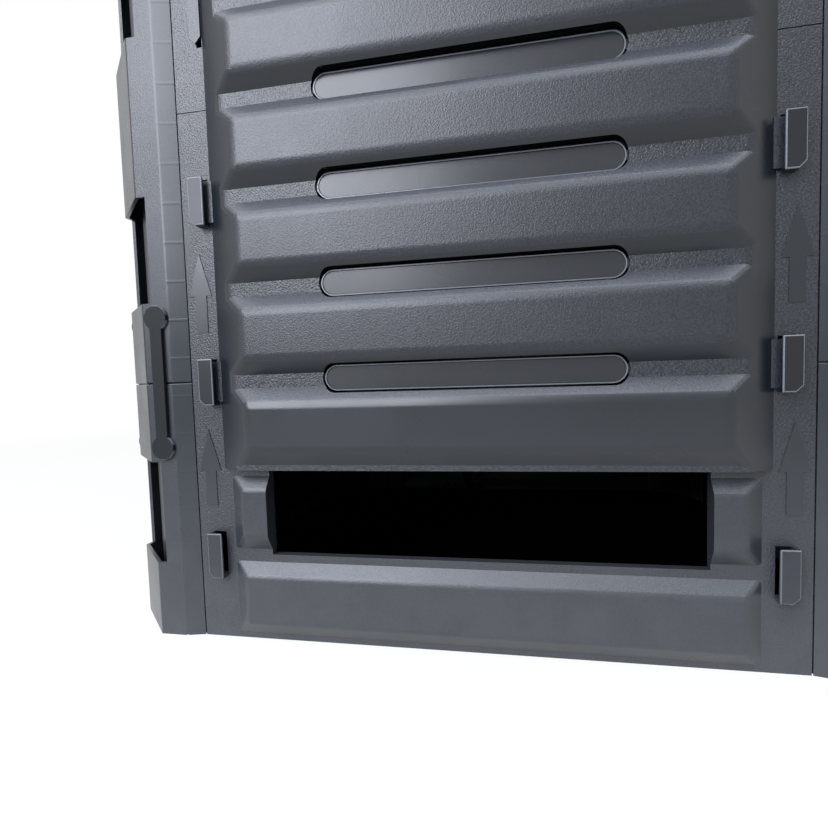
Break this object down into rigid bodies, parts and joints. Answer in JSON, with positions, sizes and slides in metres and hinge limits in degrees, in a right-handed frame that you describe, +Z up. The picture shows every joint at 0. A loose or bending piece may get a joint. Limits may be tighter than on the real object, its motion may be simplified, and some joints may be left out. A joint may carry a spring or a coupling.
{
  "type": "compost bin",
  "caption": "Square louvred garden compost bin on built-up corner posts, with a lift-off raking door at the front and a lid with hinged, lockable flaps.",
  "frame": {"origin": "on the ground at the middle of the bin's footprint", "axes": "+Z up, -Y out of the front with the raking door, +X to the right seen from the front"},
  "size_m": [0.6, 0.6, 0.8024],
  "materials": {
    "wall_panel": "moulded, eroded grain in the grooves",
    "corner_post": "moulded, fine grain",
    "clip": "smooth moulded",
    "door": "moulded, eroded grain in the grooves",
    "lid": "moulded, fine grain",
    "hinge_pin": "smooth moulded",
    "knob": "smooth moulded",
    "screw": "zinc plated"
  },
  "bodies": {
    "bin": {"wall_front_lower": "wall_panel", "wall_front_upper": "wall_panel", "wall_right_lower": "wall_panel", "wall_right_upper": "wall_panel", "wall_back_lower": "wall_panel", "wall_back_upper": "wall_panel", "wall_left_lower": "wall_panel", "wall_left_upper": "wall_panel", "post_front_right_foot": "corner_post", "post_front_right_middle": "corner_post", "post_front_right_top": "corner_post", "post_back_right_foot": "corner_post", "post_back_right_middle": "corner_post", "post_back_right_top": "corner_post", "post_back_left_foot": "corner_post", "post_back_left_middle": "corner_post", "post_back_left_top": "corner_post", "post_front_left_foot": "corner_post", "post_front_left_middle": "corner_post", "post_front_left_top": "corner_post", "clips_front_right_low": "clip", "clips_front_right_high": "clip", "clips_back_right_low": "clip", "clips_back_right_high": "clip", "clips_back_left_low": "clip", "clips_back_left_high": "clip", "clips_front_left_low": "clip", "clips_front_left_high": "clip", "lid_frame": "lid", "hinge_pins_right": "hinge_pin", "hinge_pins_left": "hinge_pin"},
    "door": {"raking_door": "door"},
    "flap_right": {"lid_flap_right": "lid"},
    "lock_right": {"lock_knob_right": "knob", "lock_tongue_right": "knob", "lock_screw_right": "screw"},
    "flap_left": {"lid_flap_left": "lid"},
    "lock_left": {"lock_knob_left": "knob", "lock_tongue_left": "knob", "lock_screw_left": "screw"}
  },
  "joints": [
    {"name": "door_lift", "type": "slide", "parent": "bin", "child": "door", "axis": [0, 0, 1], "range_m": [0, 0.06]},
    {"name": "flap_right_hinge", "type": "hinge", "parent": "bin", "child": "flap_right", "pos_m": [0.05, 0, 0.7863], "axis": [0, -1, 0], "range_deg": [0, 100]},
    {"name": "lock_right_turn", "type": "hinge", "parent": "flap_right", "child": "lock_right", "pos_m": [0.214, 0, 0.7833], "axis": [0, 0, 1], "range_deg": [0, 90]},
    {"name": "flap_left_hinge", "type": "hinge", "parent": "bin", "child": "flap_left", "pos_m": [-0.05, 0, 0.7863], "axis": [0, 1, 0], "range_deg": [0, 100]},
    {"name": "lock_left_turn", "type": "hinge", "parent": "flap_left", "child": "lock_left", "pos_m": [-0.214, 0, 0.7833], "axis": [0, 0, 1], "range_deg": [0, 90]}
  ]
}
